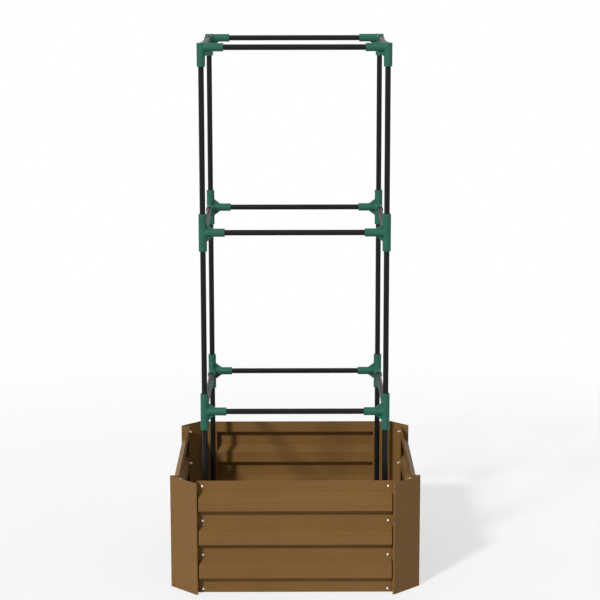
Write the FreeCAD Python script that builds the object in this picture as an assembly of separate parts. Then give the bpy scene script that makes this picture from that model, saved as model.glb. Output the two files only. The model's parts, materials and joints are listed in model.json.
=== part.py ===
"""Raised garden bed with a tomato cage standing in it.

Millimetres, +Z up, origin on the ground under the middle of the bed, front towards -Y.
Bed: four ribbed side panels bolted to four folded corner panels, open above and below.
Cage: a square tower of equal tubes plugged into moulded connectors, on four legs.
"""
import FreeCAD
import Part
import math
import os

vec = FreeCAD.Vector
same_place = 0.001          # closer than this is the same place

# Bed, over all
bed_width = 650.0           # along X, outside to outside
bed_depth = 650.0           # along Y, outside to outside
bed_height = 300.0
corner_leg = 73.0           # length that each slanted corner takes off a side
sheet = 0.8                 # thickness of all the bed's steel
bend_radius = 0.8           # inside radius of every fold

# Ribs of the side panels
rib_count = 3
rib_pitch = 90.0
lowest_rib = 60.0           # ground to the middle of the lowest crest
rib_depth = 20.0            # valley to crest
crest_height = 31.4         # flat part of a crest
slope_height = 13.8         # height of each sloped flank

# Corner panels
corner_proud = 1.8          # the corner's lips stand this far outside the crests
lip_width = 4.2
flange_width = 26.0         # bolted behind the side panel's valleys
panel_end_gap = 3.0         # side panel's end to the corner's return wall

# Bolts that join the panels
bolt_rows = 4
lowest_bolt = 9.2
bolt_pitch = 92.0
bolt_inset = 12.5           # from the corner's return wall
bolt_diameter = 4.0
bolt_hole_clearance = 0.3   # radial
bolt_length = 9.0           # under the head
bolt_end_chamfer = 0.5
bolt_head_diameter = 6.8
bolt_head_height = 2.3
bolt_head_side = 1.0        # height of the head's straight side
bolt_dome_radius = 2.4      # where the crown turns down to the side
bolt_dome_drop = 0.3        # and how far it has fallen there
recess_width = 1.0
recess_length = 4.0
recess_depth = 1.2
washer_diameter = 9.0
washer_thickness = 0.8
nut_flats = 7.0
nut_height = 3.2
nut_thread_clearance = 0.05  # radial

# Cage tubes
tube_diameter = 14.4
tube_wall = 0.8
post_length = 444.0
rail_length_x = 444.0
rail_length_y = 444.0

# Cage connectors
stop_offset = 12.0          # connector's centre to the end of a plugged tube
socket_clearance = 0.08     # radial
upright_wall = 3.4
side_wall = 3.25
upright_reach = 48.0        # connector's centre to the mouth of an upright sleeve
side_reach = 56.0           # connector's centre to the mouth of a side sleeve
mouth_round = 0.9
gusset_length = 16.0        # along the side sleeve, from the upright sleeve
gusset_rise = 12.0          # along the upright sleeve, from the side sleeve
gusset_thickness = 4.4

# Foot tips
foot_height = 10.0          # ground to the end of the lowest post
foot_collar = 3.0
foot_flat_diameter = 7.0
foot_plug_length = 18.0
foot_plug_clearance = 0.1   # radial
foot_plug_chamfer = 1.0

# Places worked out from the sizes above
half_width = bed_width / 2
half_depth = bed_depth / 2
valley_setback = corner_proud + rib_depth
panel_half_x = half_width - corner_leg - panel_end_gap
panel_half_y = half_depth - corner_leg - panel_end_gap
bolt_heights = [lowest_bolt + row * bolt_pitch for row in range(bolt_rows)]
bolt_hole_radius = bolt_diameter / 2 + bolt_hole_clearance

tube_radius = tube_diameter / 2
socket_radius = tube_radius + socket_clearance
upright_radius = socket_radius + upright_wall
side_radius = socket_radius + side_wall
cage_half_x = rail_length_x / 2 + stop_offset
cage_half_y = rail_length_y / 2 + stop_offset
tier_height = post_length + 2 * stop_offset
lower_ring = foot_height + post_length + stop_offset
ring_heights = {
    "lower": lower_ring,
    "middle": lower_ring + tier_height,
    "top": lower_ring + 2 * tier_height,
}

# The four sides with their turn from the front, and the four corners with their signs and turn
sides = {"front": 0, "right": 90, "rear": 180, "left": 270}
corners = {
    "front_left": (-1, -1, 0),
    "front_right": (1, -1, 90),
    "rear_right": (1, 1, 180),
    "rear_left": (-1, 1, 270),
}

made = {}


def keep(name, shape):
    """Remember a sub-part's shape under its node name."""
    made[name] = shape


def turned(shape, degrees):
    """A copy of the shape, turned about the upright axis through the origin."""
    copy = shape.copy()
    copy.rotate(vec(0, 0, 0), vec(0, 0, 1), degrees)
    return copy


def moved(shape, x, y, z):
    copy = shape.copy()
    copy.translate(vec(x, y, z))
    return copy


def direction(start, end):
    dx = end[0] - start[0]
    dy = end[1] - start[1]
    length = math.hypot(dx, dy)
    return dx / length, dy / length


def offset_points(points, distance):
    """The open 2-D path moved to its left by a distance, with its corners kept square."""
    count = len(points)
    result = []
    for index, (x, y) in enumerate(points):
        before = direction(points[max(index - 1, 0)], points[max(index, 1)])
        after = direction(points[min(index, count - 2)], points[min(index + 1, count - 1)])
        left_x = -before[1] - after[1]
        left_y = before[0] + after[0]
        scale = distance * 2 / (left_x ** 2 + left_y ** 2)
        result.append((x + left_x * scale, y + left_y * scale))
    return result


def rounded_edges(points, radii, place):
    """Straight edges joined by tangent arcs; place turns a 2-D point into a 3-D one."""
    edges = []
    last = points[0]
    for index in range(1, len(points) - 1):
        before = direction(points[index - 1], points[index])
        after = direction(points[index], points[index + 1])
        turn = math.acos(before[0] * after[0] + before[1] * after[1])
        reach = radii[index] * math.tan(turn / 2)
        corner = points[index]
        first = (corner[0] - before[0] * reach, corner[1] - before[1] * reach)
        second = (corner[0] + after[0] * reach, corner[1] + after[1] * reach)
        bisector = direction((0, 0), (after[0] - before[0], after[1] - before[1]))
        inset = radii[index] / math.cos(turn / 2) - radii[index]
        middle = (corner[0] + bisector[0] * inset, corner[1] + bisector[1] * inset)
        edges.append(Part.LineSegment(place(last), place(first)).toShape())
        edges.append(Part.Arc(place(first), place(middle), place(second)).toShape())
        last = second
    edges.append(Part.LineSegment(place(last), place(points[-1])).toShape())
    return edges


def folded_sheet(points, thickness, place, sweep):
    """A sheet bent along an open 2-D path and swept; the path is its right-hand surface."""
    inner = offset_points(points, thickness)
    near_radii = [0.0]
    far_radii = [0.0]
    for index in range(1, len(points) - 1):
        before = direction(points[index - 1], points[index])
        after = direction(points[index], points[index + 1])
        turns_left = before[0] * after[1] - before[1] * after[0] > 0
        near_radii.append(bend_radius + (thickness if turns_left else 0))
        far_radii.append(bend_radius + (0 if turns_left else thickness))
    near = rounded_edges(points, near_radii, place)
    far = rounded_edges(inner, far_radii, place)
    ends = [
        Part.LineSegment(place(points[0]), place(inner[0])).toShape(),
        Part.LineSegment(place(points[-1]), place(inner[-1])).toShape(),
    ]
    outline = Part.Wire(Part.__sortEdges__(near + far + ends))
    return Part.Face(outline).extrude(sweep)


def hole_along_y(radius, x, z, y_low, y_high):
    return Part.makeCylinder(radius, y_high - y_low, vec(x, y_low, z), vec(0, 1, 0))


def side_panel(half_length, half_reach):
    """The ribbed panel of the front side, half_reach from the bed's middle at its outermost."""
    valley = half_reach - valley_setback
    crest = valley + rib_depth
    flank = crest_height / 2 + slope_height
    path = [(valley, 0.0)]
    for rib in range(rib_count):
        middle = lowest_rib + rib * rib_pitch
        path.append((valley, middle - flank))
        path.append((crest, middle - crest_height / 2))
        path.append((crest, middle + crest_height / 2))
        path.append((valley, middle + flank))
    path.append((valley, bed_height))
    panel = folded_sheet(path, sheet, lambda p: vec(-half_length, -p[0], p[1]), vec(2 * half_length, 0, 0))
    bolt_x = half_length + panel_end_gap - bolt_inset
    for z in bolt_heights:
        for x in (-bolt_x, bolt_x):
            panel = panel.cut(hole_along_y(bolt_hole_radius, x, z, -half_reach, 0))
    return panel


def corner_panel():
    """The folded panel of the front right corner, in plan: flange, wall, lip, face, and back."""
    wall_x = half_width - corner_leg
    wall_y = half_depth - corner_leg
    flange_y = half_depth - valley_setback - sheet
    flange_x = half_width - valley_setback - sheet
    path = [
        (wall_x - flange_width, -flange_y),
        (wall_x, -flange_y),
        (wall_x, -half_depth),
        (wall_x + lip_width, -half_depth),
        (half_width, -wall_y - lip_width),
        (half_width, -wall_y),
        (flange_x, -wall_y),
        (flange_x, -wall_y + flange_width),
    ]
    panel = folded_sheet(path, sheet, lambda p: vec(p[0], p[1], 0), vec(0, 0, bed_height))
    for z in bolt_heights:
        panel = panel.cut(hole_along_y(bolt_hole_radius, wall_x - bolt_inset, z, -half_depth, 0))
        side_hole = Part.makeCylinder(
            bolt_hole_radius, half_width, vec(0, -wall_y + bolt_inset, z), vec(1, 0, 0))
        panel = panel.cut(side_hole)
    return panel


def bolt():
    """Pan head bolt along +Y, with the underside of its head at the origin."""
    shank = Part.makeCylinder(bolt_diameter / 2, bolt_length, vec(0, 0, 0), vec(0, 1, 0))
    far_rim = [edge for edge in shank.Edges if abs(edge.BoundBox.YMin - bolt_length) < same_place]
    shank = shank.makeChamfer(bolt_end_chamfer, far_rim)
    rim = bolt_head_diameter / 2
    start = vec(0, -bolt_head_height, 0)
    bend = vec(bolt_dome_radius, bolt_dome_drop - bolt_head_height, 0)
    edge = vec(rim, -bolt_head_side, 0)
    outline = Part.Wire([
        Part.Arc(start, bend, edge).toShape(),
        Part.LineSegment(edge, vec(rim, 0, 0)).toShape(),
        Part.LineSegment(vec(rim, 0, 0), vec(0, 0, 0)).toShape(),
        Part.LineSegment(vec(0, 0, 0), start).toShape(),
    ])
    head = Part.Face(outline).revolve(vec(0, 0, 0), vec(0, 1, 0), 360)
    for size in ((recess_length, recess_width), (recess_width, recess_length)):
        slot = Part.makeBox(size[0], recess_depth, size[1])
        slot.translate(vec(-size[0] / 2, -bolt_head_height, -size[1] / 2))
        head = head.cut(slot)
    return head.fuse(shank).removeSplitter()


def washer():
    """Flat washer along +Y, from the origin."""
    ring = Part.makeCylinder(washer_diameter / 2, washer_thickness, vec(0, 0, 0), vec(0, 1, 0))
    bore = Part.makeCylinder(bolt_hole_radius, washer_thickness, vec(0, 0, 0), vec(0, 1, 0))
    return ring.cut(bore)


def nut():
    """Hexagon nut along +Y, from the origin, with its corners turned off."""
    across = nut_flats / math.cos(math.radians(30))
    points = []
    for corner in range(7):
        angle = math.radians(60 * corner)
        points.append(vec(across / 2 * math.cos(angle), 0, across / 2 * math.sin(angle)))
    body = Part.Face(Part.makePolygon(points)).extrude(vec(0, nut_height, 0))
    cone_radius = nut_flats / 2 + nut_height
    cone = Part.makeCone(cone_radius, nut_flats / 2, nut_height, vec(0, 0, 0), vec(0, 1, 0))
    bore_radius = bolt_diameter / 2 + nut_thread_clearance
    bore = Part.makeCylinder(bore_radius, nut_height, vec(0, 0, 0), vec(0, 1, 0))
    return body.common(cone).cut(bore)


def fastener_places():
    """Where each bolt meets its side panel's outside: x along the side, reach, height, turn."""
    places = []
    for name, degrees in sides.items():
        faces_y = name in ("front", "rear")
        half_length = panel_half_x if faces_y else panel_half_y
        reach = (half_depth if faces_y else half_width) - valley_setback
        along = half_length + panel_end_gap - bolt_inset
        for x in (-along, along):
            for z in bolt_heights:
                places.append((x, -reach, z, degrees))
    return places


def fasteners(piece, depth):
    """The same fastener at every bolt, starting a depth behind the side panel's outside."""
    copies = []
    for x, y, z, degrees in fastener_places():
        copies.append(turned(moved(piece, x, y + depth, z), degrees))
    return Part.makeCompound(copies)


def tube(length):
    """A plain tube along +Z from the origin."""
    outside = Part.makeCylinder(tube_radius, length)
    inside = Part.makeCylinder(tube_radius - tube_wall, length)
    return outside.cut(inside)


def along_x(shape):
    copy = shape.copy()
    copy.rotate(vec(0, 0, 0), vec(0, 1, 0), 90)
    return copy


def along_y(shape):
    copy = shape.copy()
    copy.rotate(vec(0, 0, 0), vec(1, 0, 0), -90)
    return copy


def sleeve(radius, low, high):
    """A round sleeve's outside along Z, with its mouth at the high end rounded."""
    body = Part.makeCylinder(radius, high - low, vec(0, 0, low))
    rims = [edge for edge in body.Edges if abs(edge.BoundBox.ZMin - high) < same_place and edge.Closed]
    return body.makeFillet(mouth_round, rims)


def gusset(rises):
    """The flat web between the upright and the +X sleeve, above it or below it."""
    inner_x = upright_radius - side_wall / 2
    inner_z = side_radius - side_wall / 2
    seat_z = math.sqrt(side_radius ** 2 - (gusset_thickness / 2) ** 2)
    seat_x = math.sqrt(upright_radius ** 2 - (gusset_thickness / 2) ** 2)
    points = [
        (inner_x, inner_z),
        (upright_radius + gusset_length, inner_z),
        (upright_radius + gusset_length, seat_z),
        (seat_x, side_radius + gusset_rise),
        (inner_x, side_radius + gusset_rise),
        (inner_x, inner_z),
    ]
    sign = 1 if rises else -1
    outline = [vec(x, -gusset_thickness / 2, sign * z) for x, z in points]
    return Part.Face(Part.makePolygon(outline)).extrude(vec(0, gusset_thickness, 0))


def connector(goes_up):
    """Moulded connector for the front left corner: side sleeves to +X and +Y."""
    down = sleeve(upright_radius, 0, upright_reach)
    down.rotate(vec(0, 0, 0), vec(1, 0, 0), 180)
    if goes_up:
        up = sleeve(upright_radius, 0, upright_reach)
    else:
        up = sleeve(upright_radius, 0, upright_radius)
    body = down.fuse(up)
    side = sleeve(side_radius, 0, side_reach)
    webs = [gusset(False)]
    if goes_up:
        webs.append(gusset(True))
    for web in webs:
        body = body.fuse(web)
        web_y = web.copy()
        web_y.rotate(vec(0, 0, 0), vec(0, 0, 1), 90)
        body = body.fuse(web_y)
    body = body.fuse(along_x(side))
    body = body.fuse(along_y(side))
    socket = Part.makeCylinder(socket_radius, side_reach, vec(0, 0, stop_offset))
    downward = socket.copy()
    downward.rotate(vec(0, 0, 0), vec(1, 0, 0), 180)
    bores = [downward, along_x(socket), along_y(socket)]
    if goes_up:
        bores.append(socket)
    for bore in bores:
        body = body.cut(bore)
    return body.removeSplitter()


def foot_tip():
    """Blunt plastic tip plugged into the lowest post's end, with its flat on the ground."""
    plug_radius = tube_radius - tube_wall - foot_plug_clearance
    collar_low = foot_height - foot_collar
    top = foot_height + foot_plug_length
    outline = Part.makePolygon([
        vec(0, 0, 0),
        vec(foot_flat_diameter / 2, 0, 0),
        vec(tube_radius, 0, collar_low),
        vec(tube_radius, 0, foot_height),
        vec(plug_radius, 0, foot_height),
        vec(plug_radius, 0, top - foot_plug_chamfer),
        vec(plug_radius - foot_plug_chamfer, 0, top),
        vec(0, 0, top),
        vec(0, 0, 0),
    ])
    return Part.Face(outline).revolve(vec(0, 0, 0), vec(0, 0, 1), 360)


def make_bed():
    for name, degrees in sides.items():
        faces_y = name in ("front", "rear")
        half_length = panel_half_x if faces_y else panel_half_y
        reach = half_depth if faces_y else half_width
        keep("side_panel_" + name, turned(side_panel(half_length, reach), degrees))
    front_right = corner_panel()
    for name, (sign_x, sign_y, _) in corners.items():
        panel = front_right.copy()
        if sign_x < 0:
            panel = panel.mirror(vec(0, 0, 0), vec(1, 0, 0))
        if sign_y > 0:
            panel = panel.mirror(vec(0, 0, 0), vec(0, 1, 0))
        keep("corner_panel_" + name, panel)
    washer_place = 2 * sheet
    keep("panel_bolts", fasteners(bolt(), 0))
    keep("panel_washers", fasteners(washer(), washer_place))
    keep("panel_nuts", fasteners(nut(), washer_place + washer_thickness))


def make_cage():
    post = tube(post_length)
    rail_x = moved(along_x(tube(rail_length_x)), -rail_length_x / 2, 0, 0)
    rail_y = moved(along_y(tube(rail_length_y)), 0, -rail_length_y / 2, 0)
    tee = connector(True)
    elbow = connector(False)
    tip = foot_tip()
    post_names = {"lower": "lower_post_", "middle": "middle_post_", "top": "upper_post_"}
    connector_names = {"lower": "lower_tee_", "middle": "middle_tee_", "top": "top_elbow_"}
    for ring, height in ring_heights.items():
        for name, (sign_x, sign_y, degrees) in corners.items():
            x = sign_x * cage_half_x
            y = sign_y * cage_half_y
            joint = elbow if ring == "top" else tee
            keep(connector_names[ring] + name, moved(turned(joint, degrees), x, y, height))
            keep(post_names[ring] + name, moved(post, x, y, height - stop_offset - post_length))
        keep(ring + "_rail_front", moved(rail_x, 0, -cage_half_y, height))
        keep(ring + "_rail_rear", moved(rail_x, 0, cage_half_y, height))
        keep(ring + "_rail_left", moved(rail_y, -cage_half_x, 0, height))
        keep(ring + "_rail_right", moved(rail_y, cage_half_x, 0, height))
    for name, (sign_x, sign_y, _) in corners.items():
        keep("foot_tip_" + name, moved(tip, sign_x * cage_half_x, sign_y * cage_half_y, 0))


def main():
    make_bed()
    make_cage()
    os.makedirs("parts", exist_ok=True)
    for name, shape in made.items():
        shape.exportStep("parts/" + name + ".step")
        print(name, len(shape.Solids), round(shape.Volume, 1), shape.isValid())


main()
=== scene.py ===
"""Looks for the raised garden bed with its tomato cage: the finished surface of every piece.

Metres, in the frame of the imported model: +Z up, the origin on the ground under the middle of the
bed, the front towards -Y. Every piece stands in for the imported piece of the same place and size.
"""

import bmesh
import bpy
import json
import math
import numpy as np
from mathutils import Euler, Matrix, Vector


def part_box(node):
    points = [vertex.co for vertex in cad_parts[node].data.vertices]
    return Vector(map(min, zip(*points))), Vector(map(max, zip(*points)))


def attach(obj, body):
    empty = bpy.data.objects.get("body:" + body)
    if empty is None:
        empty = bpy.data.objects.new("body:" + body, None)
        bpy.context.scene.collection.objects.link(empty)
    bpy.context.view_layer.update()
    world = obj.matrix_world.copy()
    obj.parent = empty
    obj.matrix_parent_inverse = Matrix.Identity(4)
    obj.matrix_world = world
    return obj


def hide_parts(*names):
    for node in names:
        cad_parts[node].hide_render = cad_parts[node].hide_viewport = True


MM = 0.001
MERGE_REACH = 0.001 * MM    # points nearer to each other than this become one

# Camera, found from the photograph
PHOTO_SIZE = 600            # pixels each way
FOCAL_PIXELS = 1867.2
SENSOR = 36.0               # millimetres
CAMERA_PLACE = (-0.00384, -4.92929, 1.65807)
CAMERA_DROP = 0.1891        # radians below level
CAMERA_YAW = 0.0036         # radians towards +X
CAMERA_ROLL = -0.0012
CAMERA_REACH = 100          # metres

# Pressed and folded sheet
SHEET = 0.8 * MM            # its thickness
BEND_RADIUS = 0.8 * MM      # inside every fold
BEND_STEPS = 5
CUT_EDGE_ROUND = 0.15 * MM
RIB_COUNT = 3
RIB_PITCH = 90 * MM
LOWEST_RIB = 60 * MM        # height of its middle
CREST_HEIGHT = 31.4 * MM    # the flat outer face of a rib
SLOPE_HEIGHT = 13.8 * MM    # each slope above and below that face
LIP_WIDTH = 4.2 * MM        # from a return wall to the slanted face
FLANGE_WIDTH = 26 * MM
CORNER_CUT = 73 * MM        # what a slanted face takes off each side of the square

# Fasteners
BOLT_ROWS = 4
LOWEST_BOLT = 9.2 * MM
BOLT_PITCH = 92 * MM
BOLT_INSET = 9.5 * MM       # from the side panel's end
BOLT_RADIUS = 2 * MM
BOLT_LENGTH = 9 * MM
THREAD_PITCH = 0.7 * MM
THREAD_DEPTH = 0.35 * MM
HEAD_RADIUS = 3.4 * MM
HEAD_HEIGHT = 2.3 * MM
HEAD_SIDE = 1.0 * MM        # the straight part under the dome
DOME_STEPS = 6
RECESS_WIDTH = 1.0 * MM
RECESS_LENGTH = 4.0 * MM
RECESS_DEPTH = 1.2 * MM
WASHER_RADIUS = 4.5 * MM
WASHER_BORE = 2.3 * MM      # its radius
WASHER_THICKNESS = 0.8 * MM
NUT_FLATS = 7 * MM          # across them
NUT_HEIGHT = 3.2 * MM
FASTENER_SIDES = 24

# Cage
TUBE_WALL = 0.8 * MM
TUBE_EASE = TUBE_WALL / 4   # rounding of a tube's cut ends
TUBE_SIDES = 48
STOP_OFFSET = 12 * MM       # connector's middle to the end of a plugged tube
SOCKET_CLEARANCE = 0.08 * MM
SIDE_WALL = 3.25 * MM
MOUTH_ROUND = 0.9 * MM
MOUTH_EASE = 0.5 * MM       # rounding inside a sleeve's mouth
SLEEVE_BLEND = 2.6 * MM     # fillet where sleeves meet
FLUSH_LIMIT = 0.005         # least opening, squared, at which a fillet is still made
WEB_BLEND = 1.6 * MM        # fillet along a web's foot
WEB_LENGTH = 16 * MM        # along the level sleeve
WEB_RISE = 12 * MM          # along the upright one
WEB_THICKNESS = 4.4 * MM
WEB_EASE = 1.6 * MM         # rounding along its slanting rim
MOULD_GRID = 0.55 * MM      # grid on which a moulding is first made
MOULD_KEEP = 0.3            # share of its faces kept afterwards
SETTLE_ROUNDS = 4           # times that its points are moved to its true surface
SLOPE_STEP = 0.02 * MM      # step over which that surface's slope is measured
LEAST_SLOPE = 1e-12         # keeps a division from failing where the slope is nil
SLIVER = 0.005 * MM         # edges shorter than this are taken out
FOOT_HEIGHT = 10 * MM
FOOT_COLLAR = 3 * MM
FOOT_FLAT_RADIUS = 3.5 * MM
FOOT_PLUG = 18 * MM
FOOT_EASE = 0.4 * MM
PLUG_CLEARANCE = 0.1 * MM

# Degrees by which the front, or the front left corner, is turned to reach each place
SIDES = {"front": 0, "right": 90, "rear": 180, "left": 270}
# Signs of X and Y there, and those degrees
CORNERS = {
    "front_left": (-1, -1, 0),
    "front_right": (1, -1, 90),
    "rear_right": (1, 1, 180),
    "rear_left": (-1, 1, 270),
}
# What the connectors of each ring are called
RINGS = {"lower": "lower_tee_", "middle": "middle_tee_", "top": "top_elbow_"}

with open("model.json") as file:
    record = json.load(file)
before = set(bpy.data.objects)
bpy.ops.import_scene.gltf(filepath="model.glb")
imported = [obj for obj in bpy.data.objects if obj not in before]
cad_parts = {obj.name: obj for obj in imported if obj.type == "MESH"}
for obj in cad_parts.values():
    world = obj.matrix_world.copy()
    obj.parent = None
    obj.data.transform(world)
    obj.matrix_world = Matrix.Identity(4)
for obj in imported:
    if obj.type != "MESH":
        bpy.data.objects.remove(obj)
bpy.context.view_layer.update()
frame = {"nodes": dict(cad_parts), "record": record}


# Helpers for every kind of piece

def turned(degrees):
    return Matrix.Rotation(math.radians(degrees), 4, "Z")


def laid_along(axis):
    """Turns a shape made along +Z so that it runs along +X or +Y, or leaves it on Z."""
    if axis == "X":
        return Matrix.Rotation(math.radians(90), 4, "Y")
    if axis == "Y":
        return Matrix.Rotation(math.radians(-90), 4, "X")
    return Matrix.Identity(4)


def mesh_from(bm, name, merged=True):
    """The bmesh as a mesh, with its faces pointing outwards and, if wanted, its doubles merged."""
    if merged:
        bmesh.ops.remove_doubles(bm, verts=bm.verts, dist=MERGE_REACH)
    bmesh.ops.recalc_face_normals(bm, faces=bm.faces)
    mesh = bpy.data.meshes.new(name)
    bm.to_mesh(mesh)
    bm.free()
    return mesh


def mesh_points(mesh):
    """The mesh's points as rows of x, y and z."""
    points = np.empty(len(mesh.vertices) * 3)
    mesh.vertices.foreach_get("co", points)
    return points.reshape(-1, 3)


def finish_piece(mesh, name, node, slot, place=None, smooth_below=40, weighted=True):
    """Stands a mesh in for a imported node, keeping its own coordinates for its material."""
    kept = mesh.attributes.new("own_place", "FLOAT_VECTOR", "POINT")
    kept.data.foreach_set("vector", mesh_points(mesh).ravel())
    if place is not None:
        mesh.transform(place)
    mesh.materials.clear()
    mesh.materials.append(materials[slot])
    mesh.shade_smooth()
    mesh.set_sharp_from_angle(angle=math.radians(smooth_below))
    piece = bpy.data.objects.new(name, mesh)
    bpy.context.scene.collection.objects.link(piece)
    if weighted:
        piece.modifiers.new("even_shading", "WEIGHTED_NORMAL").keep_sharp = True
    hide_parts(node)
    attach(piece, "bed" if node in bed_nodes else "cage")
    return piece


def ease_edges(bm, offset, steps=2, sharper_than=60):
    """Rounds every edge that turns by more than an angle."""
    bm.normal_update()
    sharp = [edge for edge in bm.edges
             if edge.is_manifold and edge.calc_face_angle() > math.radians(sharper_than)]
    bmesh.ops.bevel(bm, geom=sharp, offset=offset, segments=steps, profile=0.5,
                    affect="EDGES", material=-1, clamp_overlap=True)


def extrude(bm, faces, reach):
    """Draws faces out along a vector; the faces themselves stay and close the other end."""
    made = bmesh.ops.extrude_face_region(bm, geom=faces, use_keep_orig=True)["geom"]
    drawn = [item for item in made if isinstance(item, bmesh.types.BMVert)]
    bmesh.ops.translate(bm, verts=drawn, vec=reach)


def add_turned(bm, outline, steps, closed=False):
    """Turns (radius, height) points about Z; an outline that isn't closed starts and ends on Z."""
    corners = [bm.verts.new((radius, 0, height)) for radius, height in outline]
    pairs = list(zip(corners, corners[1:]))
    if closed:
        pairs.append((corners[-1], corners[0]))
    edges = [bm.edges.new(pair) for pair in pairs]
    bmesh.ops.spin(bm, geom=corners + edges, cent=(0, 0, 0), axis=(0, 0, 1),
                   angle=math.tau, steps=steps, use_merge=True, use_duplicate=False)
    bmesh.ops.remove_doubles(bm, verts=bm.verts, dist=MERGE_REACH)


def applied(mesh, kind, **settings):
    """The mesh with one modifier applied."""
    holder = bpy.data.objects.new("holder", mesh)
    bpy.context.scene.collection.objects.link(holder)
    modifier = holder.modifiers.new(kind, kind)
    for key, value in settings.items():
        setattr(modifier, key, value)
    graph = bpy.context.evaluated_depsgraph_get()
    result = bpy.data.meshes.new_from_object(holder.evaluated_get(graph))
    bpy.data.objects.remove(holder)
    return result


# Bed

def offset_path(path, distance):
    """The open path moved to its left, with its corners kept square."""
    result = []
    for index, point in enumerate(path):
        here = Vector(point)
        ways = []
        if index > 0:
            ways.append((here - Vector(path[index - 1])).normalized())
        if index < len(path) - 1:
            ways.append((Vector(path[index + 1]) - here).normalized())
        left = sum((Vector((-way.y, way.x)) for way in ways), Vector((0, 0))) / len(ways)
        result.append(here + left * distance / left.length_squared)
    return result


def folded_sheet(path, place, sweep, name):
    """A sheet folded along a path and swept; the path is its right-hand face."""
    bm = bmesh.new()
    near = [bm.verts.new(place(point)) for point in path]
    far = [bm.verts.new(place(point)) for point in offset_path(path, SHEET)]
    extrude(bm, [bm.faces.new(near + far[::-1])], sweep)
    folds = []
    for index in range(1, len(path) - 1):
        before = Vector(path[index]) - Vector(path[index - 1])
        after = Vector(path[index + 1]) - Vector(path[index])
        turn = before.angle(after)
        turns_left = before.cross(after) > 0
        for vert, is_outside in ((near[index], turns_left), (far[index], not turns_left)):
            radius = BEND_RADIUS + (SHEET if is_outside else 0)
            # The longest edge at a corner of the profile runs along the sweep
            swept_edge = max(vert.link_edges, key=lambda edge: edge.calc_length())
            folds.append((swept_edge, radius * math.tan(turn / 2)))
    bmesh.ops.recalc_face_normals(bm, faces=bm.faces)
    for edge, reach in folds:
        bmesh.ops.bevel(bm, geom=[edge], offset=reach, segments=BEND_STEPS, profile=0.5,
                        affect="EDGES", material=-1)
    ease_edges(bm, CUT_EDGE_ROUND)
    return mesh_from(bm, name)


def make_side_panels():
    """Three ribs pressed along each panel, and flat sheet between them for the bolts."""
    low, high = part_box("side_panel_front")
    crest = -low.y
    valley = -high.y + SHEET
    flank = CREST_HEIGHT / 2 + SLOPE_HEIGHT
    # Each point is its distance out from the bed's middle and its height
    path = [(valley, low.z)]
    for rib in range(RIB_COUNT):
        middle = LOWEST_RIB + rib * RIB_PITCH
        path.append((valley, middle - flank))
        path.append((crest, middle - CREST_HEIGHT / 2))
        path.append((crest, middle + CREST_HEIGHT / 2))
        path.append((valley, middle + flank))
    path.append((valley, high.z))
    sweep = Vector((high.x - low.x, 0, 0))
    for side, degrees in SIDES.items():
        mesh = folded_sheet(path, lambda point: Vector((low.x, -point[0], point[1])), sweep, "panel")
        finish_piece(mesh, side + "_side_pressing", "side_panel_" + side, "brown_steel",
                     turned(degrees))


def make_corner_panels():
    """Folded in plan: flange, return wall, lip, slanted face, and the same back again."""
    low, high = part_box("corner_panel_front_right")
    _, side_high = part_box("side_panel_front")
    half = high.x
    wall = half - CORNER_CUT
    flange = -side_high.y
    path = [
        (wall - FLANGE_WIDTH, -flange),
        (wall, -flange),
        (wall, -half),
        (wall + LIP_WIDTH, -half),
        (half, -wall - LIP_WIDTH),
        (half, -wall),
        (flange, -wall),
        (flange, -wall + FLANGE_WIDTH),
    ]
    sweep = Vector((0, 0, high.z - low.z))
    drawn_at = CORNERS["front_right"][2]
    for corner, (_, _, degrees) in CORNERS.items():
        mesh = folded_sheet(path, lambda point: Vector((point[0], point[1], low.z)), sweep, "corner")
        finish_piece(mesh, corner + "_corner_folding", "corner_panel_" + corner, "brown_steel",
                     turned(degrees - drawn_at))


def fastener_places():
    """Where each bolt passes through its side panel's face, pointing inwards."""
    _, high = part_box("side_panel_front")
    face = high.y - SHEET
    along = high.x - BOLT_INSET
    places = []
    for degrees in SIDES.values():
        for x in (-along, along):
            for row in range(BOLT_ROWS):
                height = LOWEST_BOLT + row * BOLT_PITCH
                places.append(turned(degrees) @ Matrix.Translation((x, face, height)))
    return places


def bolt_mesh():
    """Pan head with a cross recess, its underside at the origin, and a threaded shank along +Z."""
    root = BOLT_RADIUS - THREAD_DEPTH
    outline = []
    for step in range(DOME_STEPS + 1):
        angle = math.radians(90) * step / DOME_STEPS
        outline.append((HEAD_RADIUS * math.sin(angle),
                        -HEAD_SIDE - (HEAD_HEIGHT - HEAD_SIDE) * math.cos(angle)))
    outline += [(HEAD_RADIUS, 0), (root, 0)]
    ridges = int(BOLT_LENGTH / THREAD_PITCH) - 1
    for index in range(ridges):
        height = (index + 0.5) * THREAD_PITCH
        outline += [(root, height), (BOLT_RADIUS, height + THREAD_PITCH / 2)]
    outline += [(root, BOLT_LENGTH), (0, BOLT_LENGTH)]
    bm = bmesh.new()
    add_turned(bm, outline, FASTENER_SIDES)
    plain = mesh_from(bm, "bolt")
    cutter = bmesh.new()
    for length, width in ((RECESS_LENGTH, RECESS_WIDTH), (RECESS_WIDTH, RECESS_LENGTH)):
        made = bmesh.ops.create_cube(cutter, size=1)
        bmesh.ops.scale(cutter, verts=made["verts"], vec=(length, width, 2 * RECESS_DEPTH))
    bmesh.ops.translate(cutter, verts=cutter.verts, vec=(0, 0, -HEAD_HEIGHT))
    recess = bpy.data.objects.new("recess", mesh_from(cutter, "recess"))
    bpy.context.scene.collection.objects.link(recess)
    recessed = applied(plain, "BOOLEAN", operation="DIFFERENCE", solver="EXACT", use_self=True,
                       object=recess)
    bpy.data.objects.remove(recess)
    return recessed


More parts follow.
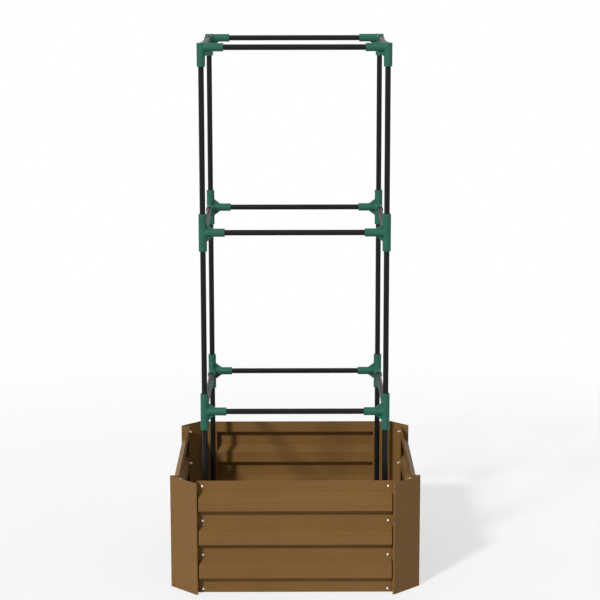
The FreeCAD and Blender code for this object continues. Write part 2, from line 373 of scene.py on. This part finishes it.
def washer_mesh():
    bm = bmesh.new()
    outline = [(WASHER_BORE, 0), (WASHER_RADIUS, 0),
               (WASHER_RADIUS, WASHER_THICKNESS), (WASHER_BORE, WASHER_THICKNESS)]
    add_turned(bm, outline, FASTENER_SIDES, closed=True)
    ease_edges(bm, CUT_EDGE_ROUND, steps=1)
    return mesh_from(bm, "washer")


def nut_mesh():
    """A hexagon with eased edges and a bore round the bolt."""
    bm = bmesh.new()
    corner_radius = NUT_FLATS / math.cos(math.radians(30)) / 2
    outer = bmesh.ops.create_circle(bm, segments=6, radius=corner_radius)["verts"]
    inner = bmesh.ops.create_circle(bm, segments=6, radius=BOLT_RADIUS)["verts"]
    rings = list({edge for vert in outer + inner for edge in vert.link_edges})
    bmesh.ops.bridge_loops(bm, edges=rings)
    extrude(bm, list(bm.faces), (0, 0, NUT_HEIGHT))
    bmesh.ops.recalc_face_normals(bm, faces=bm.faces)
    ease_edges(bm, CUT_EDGE_ROUND, sharper_than=50)
    return mesh_from(bm, "nut")


def make_fasteners():
    """One piece for all the bolts, one for the washers and one for the nuts."""
    inner_face = 2 * SHEET
    kinds = (
        ("bolts_plated", "panel_bolts", bolt_mesh(), 0),
        ("washers_plated", "panel_washers", washer_mesh(), inner_face),
        ("nuts_plated", "panel_nuts", nut_mesh(), inner_face + WASHER_THICKNESS),
    )
    for name, node, pattern, depth in kinds:
        bm = bmesh.new()
        for place in fastener_places():
            first = len(bm.verts)
            bm.from_mesh(pattern)
            bm.verts.ensure_lookup_table()
            stand = place @ Matrix.Translation((0, depth, 0)) @ laid_along("Y")
            bmesh.ops.transform(bm, matrix=stand, verts=bm.verts[first:])
        finish_piece(mesh_from(bm, name), name, node, "bright_zinc", smooth_below=35)


# Cage

def make_tube(node):
    """A thin tube with eased ends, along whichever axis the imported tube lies."""
    low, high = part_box(node)
    size = high - low
    axis = "XYZ"[list(size).index(max(size))]
    length = max(size)
    radius = min(size) / 2
    outline = [(radius - TUBE_WALL, -length / 2), (radius, -length / 2),
               (radius, length / 2), (radius - TUBE_WALL, length / 2)]
    bm = bmesh.new()
    add_turned(bm, outline, TUBE_SIDES, closed=True)
    ease_edges(bm, TUBE_EASE)
    place = Matrix.Translation((low + high) / 2) @ laid_along(axis)
    finish_piece(mesh_from(bm, node), node + "_coated", node, "black_tube", place)


def softened_min(first, second, blend):
    """The nearer of two distances, with a fillet where they are alike."""
    near = np.clip(0.5 + 0.5 * (second - first) / blend, 0, 1)
    return second * (1 - near) + first * near - blend * near * (1 - near)


def rounded_rod(radial, along, radius, low, high, edge):
    """Distance to a rod with rounded rims, from a point's distance off its axis and its place along it."""
    middle = (low + high) / 2
    beside = radial - radius + edge
    beyond = np.abs(along - middle) - (high - low) / 2 + edge
    outside = np.hypot(np.maximum(beside, 0), np.maximum(beyond, 0))
    return outside + np.minimum(np.maximum(beside, beyond), 0) - edge


def sleeves_joined(first, second, square_to_both, radius):
    """Two crossing sleeves with a fillet that dies away where their walls lie flush."""
    opening = np.sqrt(np.clip(1 - (square_to_both / radius) ** 2, FLUSH_LIMIT, 1))
    return softened_min(first, second, SLEEVE_BLEND * opening)


def web_distance(along, across, height, sizes):
    """Distance to the three-cornered web between the upright sleeve and a level one."""
    normal = Vector((WEB_RISE, WEB_LENGTH)).normalized()
    outward = along - sizes["upright_radius"]
    slant = outward * normal.x + (height - sizes["side_radius"] - WEB_RISE) * normal.y
    thick = np.abs(across) - WEB_THICKNESS / 2
    rim = -softened_min(-slant, -thick, WEB_EASE)
    web = np.maximum(rim, np.maximum(sizes["mid_wall"] - height, -along))
    return np.maximum(web, outward - WEB_LENGTH)


def connector_distance(points, sizes):
    """Distance from points to the surface of the front left connector, negative inside it."""
    x, y, z = points.T
    off_x = np.hypot(y, z)
    off_y = np.hypot(x, z)
    off_z = np.hypot(x, y)
    side_radius = sizes["side_radius"]
    upright = rounded_rod(off_z, z, sizes["upright_radius"],
                          -sizes["upright_reach"], sizes["top"], MOUTH_ROUND)
    side_x = rounded_rod(off_x, x, side_radius, 0, sizes["side_reach"], MOUTH_ROUND)
    side_y = rounded_rod(off_y, y, side_radius, 0, sizes["side_reach"], MOUTH_ROUND)
    result = np.minimum(sleeves_joined(upright, side_x, y, side_radius),
                        sleeves_joined(upright, side_y, x, side_radius))
    result = np.minimum(result, sleeves_joined(side_x, side_y, z, side_radius))
    for sign in sizes["web_signs"]:
        for along, across in ((x, y), (y, x)):
            web = web_distance(along, across, sign * z, sizes)
            result = softened_min(result, web, WEB_BLEND)
    sockets = [(off_z, -z), (off_x, x), (off_y, y)]
    if sizes["goes_up"]:
        sockets.append((off_z, z))
    for radial, along in sockets:
        bore = np.maximum(radial - sizes["socket_radius"], STOP_OFFSET - along)
        result = -softened_min(-result, bore, MOUTH_EASE)
    # No fillet stands out past the upright sleeve's outer sides or the top
    for outward in (-x, -y):
        result = np.maximum(result, outward - sizes["upright_radius"])
    return np.maximum(result, z - sizes["top"])


def distance_slope(points, sizes):
    """Which way the distance grows at each point, as unit vectors."""
    slope = np.empty_like(points)
    for axis in range(3):
        shift = np.zeros(3)
        shift[axis] = SLOPE_STEP
        ahead = connector_distance(points + shift, sizes)
        behind = connector_distance(points - shift, sizes)
        slope[:, axis] = ahead - behind
    return slope / np.maximum(np.linalg.norm(slope, axis=1, keepdims=True), LEAST_SLOPE)


def settle(mesh, sizes):
    """Moves a mesh's points onto the connector's surface."""
    points = mesh_points(mesh)
    for _ in range(SETTLE_ROUNDS):
        distance = connector_distance(points, sizes)
        points -= distance_slope(points, sizes) * distance[:, None]
    mesh.vertices.foreach_set("co", points.ravel())
    mesh.update()


def drop_slivers(mesh):
    """Takes the mesh's shortest edges out."""
    bm = bmesh.new()
    bm.from_mesh(mesh)
    bmesh.ops.dissolve_degenerate(bm, dist=SLIVER, edges=bm.edges)
    bm.to_mesh(mesh)
    bm.free()


def add_sleeve(bm, radius, reach, bore, place):
    """A sleeve with a blind socket, made along +Z and turned to its place."""
    outline = [(0, 0), (radius, 0), (radius, reach), (bore, reach),
               (bore, STOP_OFFSET), (0, STOP_OFFSET)]
    sleeve = bmesh.new()
    add_turned(sleeve, outline, TUBE_SIDES)
    mesh = mesh_from(sleeve, "sleeve")
    mesh.transform(place)
    bm.from_mesh(mesh)


def rough_connector(sizes):
    """The connector's sleeves and webs laid over each other, before they are made one moulding."""
    bm = bmesh.new()
    upright = (sizes["upright_radius"], sizes["upright_reach"], sizes["socket_radius"])
    level = (sizes["side_radius"], sizes["side_reach"], sizes["socket_radius"])
    add_sleeve(bm, *upright, Matrix.Rotation(math.pi, 4, "X"))
    add_sleeve(bm, *level, laid_along("X"))
    add_sleeve(bm, *level, laid_along("Y"))
    if sizes["goes_up"]:
        add_sleeve(bm, *upright, laid_along("Z"))
    else:
        # An elbow has a closed top there
        cap = bmesh.ops.create_cone(bm, cap_ends=True, segments=TUBE_SIDES, depth=sizes["top"],
                                    radius1=sizes["upright_radius"], radius2=sizes["upright_radius"])
        bmesh.ops.translate(bm, verts=cap["verts"], vec=(0, 0, sizes["top"] / 2))
    foot = sizes["mid_wall"]
    tip = sizes["upright_radius"] + WEB_LENGTH
    crown = sizes["side_radius"] + WEB_RISE
    corners = [(foot, foot), (tip, foot), (tip, sizes["side_radius"]),
               (sizes["upright_radius"], crown), (foot, crown)]
    for sign in sizes["web_signs"]:
        for turn in (turned(0), turned(90)):
            verts = [bm.verts.new(turn @ Vector((x, -WEB_THICKNESS / 2, sign * z)))
                     for x, z in corners]
            extrude(bm, [bm.faces.new(verts)], turn @ Vector((0, WEB_THICKNESS, 0)))
    return mesh_from(bm, "rough_connector", merged=False)


def moulded_connector(sizes):
    """One moulding with fillets between its sleeves and webs."""
    mesh = applied(rough_connector(sizes), "REMESH", mode="VOXEL", voxel_size=MOULD_GRID)
    settle(mesh, sizes)
    mesh = applied(mesh, "DECIMATE", ratio=MOULD_KEEP)
    settle(mesh, sizes)
    drop_slivers(mesh)
    return mesh


def connector_sizes(ring, prefix):
    """The middle of a ring's front left connector and its sizes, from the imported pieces."""
    low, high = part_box(prefix + "front_left")
    post_low, post_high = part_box("lower_post_front_left")
    rail_low, rail_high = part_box(ring + "_rail_front")
    middle = Vector(((post_low.x + post_high.x) / 2, (post_low.y + post_high.y) / 2,
                     (rail_low.z + rail_high.z) / 2))
    socket_radius = (post_high.x - post_low.x) / 2 + SOCKET_CLEARANCE
    side_radius = socket_radius + SIDE_WALL
    goes_up = ring != "top"
    sizes = {
        "upright_radius": middle.x - low.x,
        "upright_reach": middle.z - low.z,
        "side_radius": side_radius,
        "side_reach": high.x - middle.x,
        "socket_radius": socket_radius,
        "mid_wall": side_radius - SIDE_WALL / 2,
        "top": high.z - middle.z,
        "goes_up": goes_up,
        "web_signs": (-1, 1) if goes_up else (-1,),
    }
    return middle, sizes


def make_connectors():
    """The tees and elbows; each is the front left one turned to its corner."""
    for ring, prefix in RINGS.items():
        middle, sizes = connector_sizes(ring, prefix)
        # The middle tees are like the lower ones
        if ring != "middle":
            pattern = moulded_connector(sizes)
        slope = distance_slope(mesh_points(pattern), sizes)
        for corner, (sign_x, sign_y, degrees) in CORNERS.items():
            node = prefix + corner
            turn = turned(degrees)
            place = Matrix.Translation((sign_x * abs(middle.x), sign_y * abs(middle.y), middle.z))
            piece = finish_piece(pattern.copy(), node + "_moulded", node, "green_plastic",
                                 place @ turn, smooth_below=180, weighted=False)
            normals = slope @ np.array(turn.to_3x3()).T
            piece.data.normals_split_custom_set_from_vertices(normals.tolist())


def make_foot_tips():
    """Tips that close the lower posts' ends, each with a plug inside its tube."""
    for corner in CORNERS:
        node = "foot_tip_" + corner
        low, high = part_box(node)
        radius = (high.x - low.x) / 2
        plug = radius - TUBE_WALL - PLUG_CLEARANCE
        outline = [(0, 0), (FOOT_FLAT_RADIUS, 0), (radius, FOOT_HEIGHT - FOOT_COLLAR),
                   (radius, FOOT_HEIGHT), (plug, FOOT_HEIGHT), (plug, FOOT_HEIGHT + FOOT_PLUG),
                   (0, FOOT_HEIGHT + FOOT_PLUG)]
        bm = bmesh.new()
        add_turned(bm, outline, TUBE_SIDES)
        ease_edges(bm, FOOT_EASE, sharper_than=25)
        place = Matrix.Translation(((low.x + high.x) / 2, (low.y + high.y) / 2, low.z))
        finish_piece(mesh_from(bm, node), node + "_moulded", node, "black_plastic", place)


# Materials

# Colours as linear red, green and blue
BROWN = (0.179, 0.093, 0.0268)
BROWN_DARK = (0.148, 0.076, 0.0205)
BROWN_LIGHT = (0.208, 0.110, 0.0336)
BROWN_RUBBED = (0.27, 0.17, 0.085)
ZINC_DULL = (0.66, 0.60, 0.51)
ZINC_BRIGHT = (0.82, 0.75, 0.65)
BLACK_DARK = (0.0044, 0.0042, 0.0048)
BLACK_LIGHT = (0.0100, 0.0094, 0.0107)
GREEN_DARK = (0.0125, 0.089, 0.060)
GREEN_LIGHT = (0.0175, 0.115, 0.079)
FOOT_DARK = (0.009, 0.009, 0.009)
FOOT_LIGHT = (0.016, 0.016, 0.016)

# Least and most roughness of each finish
BROWN_ROUGHNESS = (0.46, 0.6)
ZINC_ROUGHNESS = (0.3, 0.42)
TUBE_ROUGHNESS = (0.36, 0.5)
GREEN_ROUGHNESS = (0.42, 0.56)
FOOT_ROUGHNESS = (0.4, 0.55)

# How the finishes vary
TONE_LOW = 0.3              # the tone at which a ramp starts
TONE_MIDDLE = 0.5
TONE_HIGH = 0.7             # and the one at which it ends
TONE_LOW_STEEP = 0.35       # the same for a ramp that changes faster
TONE_HIGH_STEEP = 0.65
STREAK_SHARE = 0.35         # of the powder coat's tone that is streaks
STREAK_STRETCH = (1.0, 40.0, 40.0)
DRAW_SHARE = 0.4            # of the tube coat's tone that is draw lines
DRAW_STRETCH = (1.0, 1.0, 0.02)
RUB_SAMPLES = 4
RUB_GAIN = 5.0              # how soon a rim is fully rubbed
RUB_CONTRAST = 1.5          # of the patches that are rubbed
MOULDING_RUB = 0.5          # share of the rub that mouldings show
MOULDING_RUBBED_KEEP = 0.7  # share of their own colour that stays there
MOULDING_RUBBED_LIFT = 0.06


def new_group(name, inputs, outputs):
    """A shader node group with named value inputs and outputs; returns it with its two ends."""
    group = bpy.data.node_groups.new(name, "ShaderNodeTree")
    for label, kind, value in inputs:
        socket = group.interface.new_socket(label, in_out="INPUT", socket_type=kind)
        if value is not None:
            socket.default_value = value
    for label, kind in outputs:
        group.interface.new_socket(label, in_out="OUTPUT", socket_type=kind)
    return group, group.nodes.new("NodeGroupInput"), group.nodes.new("NodeGroupOutput")


def link(tree, source, target):
    tree.links.new(source, target)


def add_math(tree, operation, first, second=None, third=None, clamp=False):
    node = tree.nodes.new("ShaderNodeMath")
    node.operation = operation
    node.use_clamp = clamp
    for index, value in enumerate((first, second, third)):
        if value is None:
            continue
        if isinstance(value, (int, float)):
            node.inputs[index].default_value = value
        else:
            link(tree, value, node.inputs[index])
    return node.outputs["Value"]


def add_shares(tree, share, first, second):
    """So much of the first value, and the rest of the second."""
    rest = add_math(tree, "MULTIPLY", second, 1 - share)
    return add_math(tree, "MULTIPLY_ADD", first, share, rest)


def add_noise(tree, place, scale, detail=2.0, rough=0.5):
    node = tree.nodes.new("ShaderNodeTexNoise")
    node.inputs["Detail"].default_value = detail
    node.inputs["Roughness"].default_value = rough
    link(tree, place, node.inputs["Vector"])
    if isinstance(scale, (int, float)):
        node.inputs["Scale"].default_value = scale
    else:
        link(tree, scale, node.inputs["Scale"])
    return node.outputs["Fac"]


def make_speckle_group():
    """Fine and broad variation of tone, centred on 0.5."""
    group, start, end = new_group(
        "tone_variation",
        [("Place", "NodeSocketVector", None), ("Fine Scale", "NodeSocketFloat", 900.0),
         ("Broad Scale", "NodeSocketFloat", 9.0), ("Fine Share", "NodeSocketFloat", 0.4)],
        [("Tone", "NodeSocketFloat")])
    place = start.outputs["Place"]
    fine = add_noise(group, place, start.outputs["Fine Scale"], detail=1.0)
    broad = add_noise(group, place, start.outputs["Broad Scale"], detail=3.0, rough=0.6)
    mix = group.nodes.new("ShaderNodeMix")
    link(group, start.outputs["Fine Share"], mix.inputs["Factor"])
    link(group, broad, mix.inputs["A"])
    link(group, fine, mix.inputs["B"])
    link(group, mix.outputs["Result"], end.inputs["Tone"])
    return group


def make_rub_group():
    """Where edges stand out and get rubbed: 1 on a sharp rim, 0 on the flats, broken up by noise."""
    group, start, end = new_group(
        "edge_rub",
        [("Place", "NodeSocketVector", None), ("Reach", "NodeSocketFloat", 1 * MM),
         ("Patch Scale", "NodeSocketFloat", 120.0)],
        [("Rub", "NodeSocketFloat")])
    bevel = group.nodes.new("ShaderNodeBevel")
    bevel.samples = RUB_SAMPLES
    link(group, start.outputs["Reach"], bevel.inputs["Radius"])
    surface = group.nodes.new("ShaderNodeNewGeometry")
    agree = group.nodes.new("ShaderNodeVectorMath")
    agree.operation = "DOT_PRODUCT"
    link(group, bevel.outputs["Normal"], agree.inputs[0])
    link(group, surface.outputs["Normal"], agree.inputs[1])
    turned_away = add_math(group, "SUBTRACT", 1.0, agree.outputs["Value"])
    patch = add_noise(group, start.outputs["Place"], start.outputs["Patch Scale"],
                      detail=3.0, rough=0.6)
    amount = add_math(group, "MULTIPLY", turned_away, RUB_GAIN)
    patch = add_math(group, "POWER", patch, RUB_CONTRAST)
    amount = add_math(group, "MULTIPLY", amount, patch, clamp=True)
    link(group, amount, end.inputs["Rub"])
    return group


def make_peel_group():
    """Orange peel and finer grain of a sprayed or moulded surface, as one normal."""
    group, start, end = new_group(
        "surface_peel",
        [("Place", "NodeSocketVector", None), ("Wave Scale", "NodeSocketFloat", 500.0),
         ("Wave Height", "NodeSocketFloat", 0.02 * MM), ("Grain Scale", "NodeSocketFloat", 2500.0),
         ("Grain Height", "NodeSocketFloat", 0.004 * MM)],
        [("Normal", "NodeSocketVector")])
    place = start.outputs["Place"]
    wave = add_noise(group, place, start.outputs["Wave Scale"], detail=1.0)
    grain = add_noise(group, place, start.outputs["Grain Scale"])
    height = add_math(group, "MULTIPLY", wave, start.outputs["Wave Height"])
    height = add_math(group, "MULTIPLY_ADD", grain, start.outputs["Grain Height"], height)
    bump = group.nodes.new("ShaderNodeBump")
    bump.inputs["Distance"].default_value = 1.0
    link(group, height, bump.inputs["Height"])
    link(group, bump.outputs["Normal"], end.inputs["Normal"])
    return group


def new_material(name):
    """An empty Principled material, with the piece's own coordinates; returns its parts."""
    material = bpy.data.materials.new(name)
    material.use_nodes = True
    tree = material.node_tree
    shader = tree.nodes["Principled BSDF"]
    place = tree.nodes.new("ShaderNodeAttribute")
    place.attribute_name = "own_place"
    return material, tree, shader, place.outputs["Vector"]


def use_group(tree, group, place, **values):
    """A node group in a material; its inputs' names have underscores for spaces here."""
    node = tree.nodes.new("ShaderNodeGroup")
    node.node_tree = group
    link(tree, place, node.inputs["Place"])
    for label, value in values.items():
        node.inputs[label.replace("_", " ")].default_value = value
    return node


def stretched(tree, place, factors):
    """The place with a scale of its own along each axis."""
    mapping = tree.nodes.new("ShaderNodeMapping")
    mapping.inputs["Scale"].default_value = factors
    link(tree, place, mapping.inputs["Vector"])
    return mapping.outputs["Vector"]


def add_ramp(tree, factor, *stops):
    """A colour ramp through (position, grey or colour) stops."""
    node = tree.nodes.new("ShaderNodeValToRGB")
    ramp = node.color_ramp
    while len(ramp.elements) < len(stops):
        ramp.elements.new(0.5)
    for element, (position, colour) in zip(ramp.elements, stops):
        element.position = position
        if isinstance(colour, (int, float)):
            colour = (colour, colour, colour)
        element.color = (*colour, 1)
    link(tree, factor, node.inputs["Fac"])
    return node.outputs["Color"]


def add_mix(tree, factor, first, second):
    """A mix of two colours, each a tuple or another node's colour."""
    node = tree.nodes.new("ShaderNodeMix")
    node.data_type = "RGBA"
    link(tree, factor, node.inputs["Factor"])
    for label, value in (("A", first), ("B", second)):
        socket = next(item for item in node.inputs if item.name == label and item.type == "RGBA")
        if isinstance(value, tuple):
            socket.default_value = (*value, 1)
        else:
            link(tree, value, socket)
    return next(item for item in node.outputs if item.type == "RGBA")


def add_finish(tree, shader, tone, roughness, peel_group, place, **peel_values):
    """Roughness that follows the tone, and the surface's peel."""
    least, most = roughness
    ramp = add_ramp(tree, tone, (TONE_LOW, least), (TONE_HIGH, most))
    link(tree, ramp, shader.inputs["Roughness"])
    peel = use_group(tree, peel_group, place, **peel_values)
    link(tree, peel.outputs["Normal"], shader.inputs["Normal"])


def powder_coated_steel(groups):
    """Satin brown coat on sheet: faint streaks along the sheet, fine speckle, rubbed edges."""
    material, tree, shader, place = new_material("brown_powder_coat")
    speckle = use_group(tree, groups["tone"], place,
                        Fine_Scale=1100.0, Broad_Scale=7.0, Fine_Share=0.45)
    streak = add_noise(tree, stretched(tree, place, STREAK_STRETCH), scale=6.0, detail=3.0,
                       rough=0.6)
    tone = add_shares(tree, STREAK_SHARE, streak, speckle.outputs["Tone"])
    colour = add_ramp(tree, tone, (TONE_LOW, BROWN_DARK), (TONE_MIDDLE, BROWN),
                      (TONE_HIGH, BROWN_LIGHT))
    rub = use_group(tree, groups["rub"], place, Reach=1.1 * MM, Patch_Scale=160.0)
    colour = add_mix(tree, rub.outputs["Rub"], colour, BROWN_RUBBED)
    link(tree, colour, shader.inputs["Base Color"])
    add_finish(tree, shader, speckle.outputs["Tone"], BROWN_ROUGHNESS, groups["peel"], place,
               Wave_Scale=420.0, Wave_Height=0.05 * MM, Grain_Scale=2200.0, Grain_Height=0.008 * MM)
    shader.inputs["Specular IOR Level"].default_value = 0.15
    return material


def zinc_plate(groups):
    """Bright zinc with a faint warm cast and clouding."""
    material, tree, shader, place = new_material("bright_zinc_plate")
    clouding = use_group(tree, groups["tone"], place,
                         Fine_Scale=3000.0, Broad_Scale=300.0, Fine_Share=0.3)
    tone = clouding.outputs["Tone"]
    colour = add_ramp(tree, tone, (TONE_LOW_STEEP, ZINC_DULL), (TONE_HIGH_STEEP, ZINC_BRIGHT))
    link(tree, colour, shader.inputs["Base Color"])
    add_finish(tree, shader, tone, ZINC_ROUGHNESS, groups["peel"], place,
               Wave_Scale=1500.0, Wave_Height=0.004 * MM, Grain_Scale=6000.0, Grain_Height=0.001 * MM)
    shader.inputs["Metallic"].default_value = 1.0
    return material


def coated_tube(groups):
    """Near-black coat on tube, with faint draw lines along it."""
    material, tree, shader, place = new_material("black_tube_coat")
    speckle = use_group(tree, groups["tone"], place,
                        Fine_Scale=1400.0, Broad_Scale=30.0, Fine_Share=0.4)
    lines = add_noise(tree, stretched(tree, place, DRAW_STRETCH), scale=700.0)
    tone = add_shares(tree, DRAW_SHARE, lines, speckle.outputs["Tone"])
    colour = add_ramp(tree, tone, (TONE_LOW_STEEP, BLACK_DARK), (TONE_HIGH_STEEP, BLACK_LIGHT))
    link(tree, colour, shader.inputs["Base Color"])
    add_finish(tree, shader, tone, TUBE_ROUGHNESS, groups["peel"], place,
               Wave_Scale=500.0, Wave_Height=0.01 * MM, Grain_Scale=2600.0, Grain_Height=0.003 * MM)
    shader.inputs["Specular IOR Level"].default_value = 0.14
    return material


def moulded_plastic(groups, name, dark, light, roughness):
    """Moulded plastic with a fine spark texture and slight flow marks."""
    material, tree, shader, place = new_material(name)
    marks = use_group(tree, groups["tone"], place,
                      Fine_Scale=1600.0, Broad_Scale=45.0, Fine_Share=0.35)
    tone = marks.outputs["Tone"]
    colour = add_ramp(tree, tone, (TONE_LOW, dark), (TONE_HIGH, light))
    rub = use_group(tree, groups["rub"], place, Reach=0.8 * MM, Patch_Scale=300.0)
    rubbed = tuple(MOULDING_RUBBED_KEEP * channel + MOULDING_RUBBED_LIFT for channel in light)
    amount = add_math(tree, "MULTIPLY", rub.outputs["Rub"], MOULDING_RUB)
    colour = add_mix(tree, amount, colour, rubbed)
    link(tree, colour, shader.inputs["Base Color"])
    add_finish(tree, shader, tone, roughness, groups["peel"], place,
               Wave_Scale=900.0, Wave_Height=0.016 * MM, Grain_Scale=3200.0, Grain_Height=0.009 * MM)
    shader.inputs["Specular IOR Level"].default_value = 0.25
    return material


def make_materials():
    groups = {"tone": make_speckle_group(), "rub": make_rub_group(), "peel": make_peel_group()}
    return {
        "brown_steel": powder_coated_steel(groups),
        "bright_zinc": zinc_plate(groups),
        "black_tube": coated_tube(groups),
        "green_plastic": moulded_plastic(groups, "green_moulding", GREEN_DARK, GREEN_LIGHT,
                                         GREEN_ROUGHNESS),
        "black_plastic": moulded_plastic(groups, "black_moulding", FOOT_DARK, FOOT_LIGHT,
                                         FOOT_ROUGHNESS),
    }


# Stage, light and camera

FLOOR_SPAN = 40.0
FLOOR_FADE_START = 0.9      # metres from the object's middle
FLOOR_FADE_END = 3.0
FLOOR_CLEARNESS = 0.62      # share of the white background seen through the floor near the object
BED_FLOOR_CLEARNESS = 0.36  # the same inside the bed, where the ground keeps more of its shade
FLOOR_PALE = 0.93           # as the camera sees it
FLOOR_DIM = 0.60            # as it lights the object
BACKDROP_LEVEL = 1.0        # white, as the camera and reflections see it
SKY_LEVEL_LOW = 0.48        # light from level directions
SKY_LEVEL_HIGH = 0.25       # light from straight above
KEY_LEVEL = 2.7
KEY_SOFTNESS = 7            # degrees across
KEY_AZIMUTH = 33            # degrees left of the front
KEY_ELEVATION = 34
FILL_LEVEL = 0.2
FILL_SOFTNESS = 60
FILL_AZIMUTH = -85          # from the right
FILL_ELEVATION = 20
BACK_LEVEL = 0.6
BACK_SOFTNESS = 60
BACK_AZIMUTH = 180
BACK_ELEVATION = 20


def seen_directly(tree):
    """1 for rays that show the background itself: from the camera, a reflection or clear glass."""
    path = tree.nodes.new("ShaderNodeLightPath")
    seen = add_math(tree, "MAXIMUM", path.outputs["Is Camera Ray"], path.outputs["Is Glossy Ray"])
    return add_math(tree, "MAXIMUM", seen, path.outputs["Is Transmission Ray"])


def inside_bed(tree, place):
    """1 on the ground inside the bed's walls, 0 outside them."""
    _, side_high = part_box("side_panel_front")
    _, corner_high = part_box("corner_panel_front_right")
    across = tree.nodes.new("ShaderNodeVectorMath")
    across.operation = "ABSOLUTE"
    link(tree, place, across.inputs[0])
    parts = tree.nodes.new("ShaderNodeSeparateXYZ")
    link(tree, across.outputs["Vector"], parts.inputs["Vector"])
    straight = add_math(tree, "MAXIMUM", parts.outputs["X"], parts.outputs["Y"])
    slanted = add_math(tree, "ADD", parts.outputs["X"], parts.outputs["Y"])
    within_sides = add_math(tree, "LESS_THAN", straight, -side_high.y)
    within_corners = add_math(tree, "LESS_THAN", slanted, 2 * corner_high.x - CORNER_CUT)
    return add_math(tree, "MULTIPLY", within_sides, within_corners)


def floor_material():
    """Pale ground that keeps the object's shadow and fades into the white background."""
    material = bpy.data.materials.new("pale_floor")
    material.use_nodes = True
    tree = material.node_tree
    shader = tree.nodes["Principled BSDF"]
    shader.inputs["Roughness"].default_value = 1.0
    shader.inputs["Specular IOR Level"].default_value = 0.0
    pale = (FLOOR_PALE, FLOOR_PALE, FLOOR_PALE)
    dim = (FLOOR_DIM, FLOOR_DIM, FLOOR_DIM)
    link(tree, add_mix(tree, seen_directly(tree), dim, pale), shader.inputs["Base Color"])
    place = tree.nodes.new("ShaderNodeTexCoord")
    distance = tree.nodes.new("ShaderNodeVectorMath")
    distance.operation = "LENGTH"
    link(tree, place.outputs["Object"], distance.inputs[0])
    fade = tree.nodes.new("ShaderNodeMapRange")
    fade.interpolation_type = "SMOOTHSTEP"
    fade.inputs["From Min"].default_value = FLOOR_FADE_START
    fade.inputs["From Max"].default_value = FLOOR_FADE_END
    fade.inputs["To Min"].default_value = FLOOR_CLEARNESS
    link(tree, distance.outputs["Value"], fade.inputs["Value"])
    clearness = tree.nodes.new("ShaderNodeMix")
    link(tree, inside_bed(tree, place.outputs["Object"]), clearness.inputs["Factor"])
    link(tree, fade.outputs["Result"], clearness.inputs["A"])
    clearness.inputs["B"].default_value = BED_FLOOR_CLEARNESS
    hidden = add_math(tree, "MULTIPLY", clearness.outputs["Result"], seen_directly(tree))
    clear = tree.nodes.new("ShaderNodeBsdfTransparent")
    blend = tree.nodes.new("ShaderNodeMixShader")
    link(tree, hidden, blend.inputs["Fac"])
    link(tree, shader.outputs["BSDF"], blend.inputs[1])
    link(tree, clear.outputs["BSDF"], blend.inputs[2])
    link(tree, blend.outputs["Shader"], tree.nodes["Material Output"].inputs["Surface"])
    return material


def make_stage():
    bm = bmesh.new()
    bmesh.ops.create_grid(bm, x_segments=1, y_segments=1, size=FLOOR_SPAN / 2)
    mesh = bpy.data.meshes.new("floor")
    bm.to_mesh(mesh)
    bm.free()
    mesh.materials.append(floor_material())
    floor = bpy.data.objects.new("floor", mesh)
    bpy.context.scene.collection.objects.link(floor)


def make_sky():
    """White where it is seen; as a light, dimmer overhead than level."""
    world = bpy.data.worlds.new("studio")
    bpy.context.scene.world = world
    world.use_nodes = True
    tree = world.node_tree
    ray = tree.nodes.new("ShaderNodeTexCoord")
    parts = tree.nodes.new("ShaderNodeSeparateXYZ")
    link(tree, ray.outputs["Generated"], parts.inputs["Vector"])
    lighting = add_ramp(tree, parts.outputs["Z"], (0.0, SKY_LEVEL_LOW), (1.0, SKY_LEVEL_HIGH))
    white = (BACKDROP_LEVEL, BACKDROP_LEVEL, BACKDROP_LEVEL)
    colour = add_mix(tree, seen_directly(tree), lighting, white)
    link(tree, colour, tree.nodes["Background"].inputs["Color"])


def add_sun(name, level, softness, azimuth, elevation, mirrored=True):
    """A far lamp, from so many degrees left of the front and so many above level."""
    lamp = bpy.data.lights.new(name, "SUN")
    lamp.energy = level
    lamp.angle = math.radians(softness)
    sun = bpy.data.objects.new(name, lamp)
    side = math.radians(azimuth)
    rise = math.radians(elevation)
    towards = Vector((-math.sin(side) * math.cos(rise), -math.cos(side) * math.cos(rise), math.sin(rise)))
    sun.rotation_euler = towards.to_track_quat("Z", "Y").to_euler()
    sun.visible_glossy = mirrored
    bpy.context.scene.collection.objects.link(sun)


def make_camera():
    data = bpy.data.cameras.new("camera")
    data.sensor_width = SENSOR
    data.lens = FOCAL_PIXELS / PHOTO_SIZE * SENSOR
    data.clip_end = CAMERA_REACH
    camera = bpy.data.objects.new("camera", data)
    bpy.context.scene.collection.objects.link(camera)
    aim = Euler((math.radians(90) - CAMERA_DROP, 0, -CAMERA_YAW)).to_matrix().to_4x4()
    roll = Matrix.Rotation(CAMERA_ROLL, 4, "Z")
    camera.matrix_world = Matrix.Translation(CAMERA_PLACE) @ aim @ roll
    bpy.context.scene.camera = camera


materials = make_materials()
bed_nodes = set(frame["record"]["behaviour"]["bodies"]["bed"])
make_side_panels()
make_corner_panels()
make_fasteners()
for node in frame["nodes"]:
    if "_post_" in node or "_rail_" in node:
        make_tube(node)
make_connectors()
make_foot_tips()
make_stage()
make_sky()
add_sun("key", KEY_LEVEL, KEY_SOFTNESS, KEY_AZIMUTH, KEY_ELEVATION)
add_sun("fill", FILL_LEVEL, FILL_SOFTNESS, FILL_AZIMUTH, FILL_ELEVATION)
add_sun("back", BACK_LEVEL, BACK_SOFTNESS, BACK_AZIMUTH, BACK_ELEVATION, mirrored=False)
make_camera()
bpy.context.scene.view_settings.view_transform = "Standard"
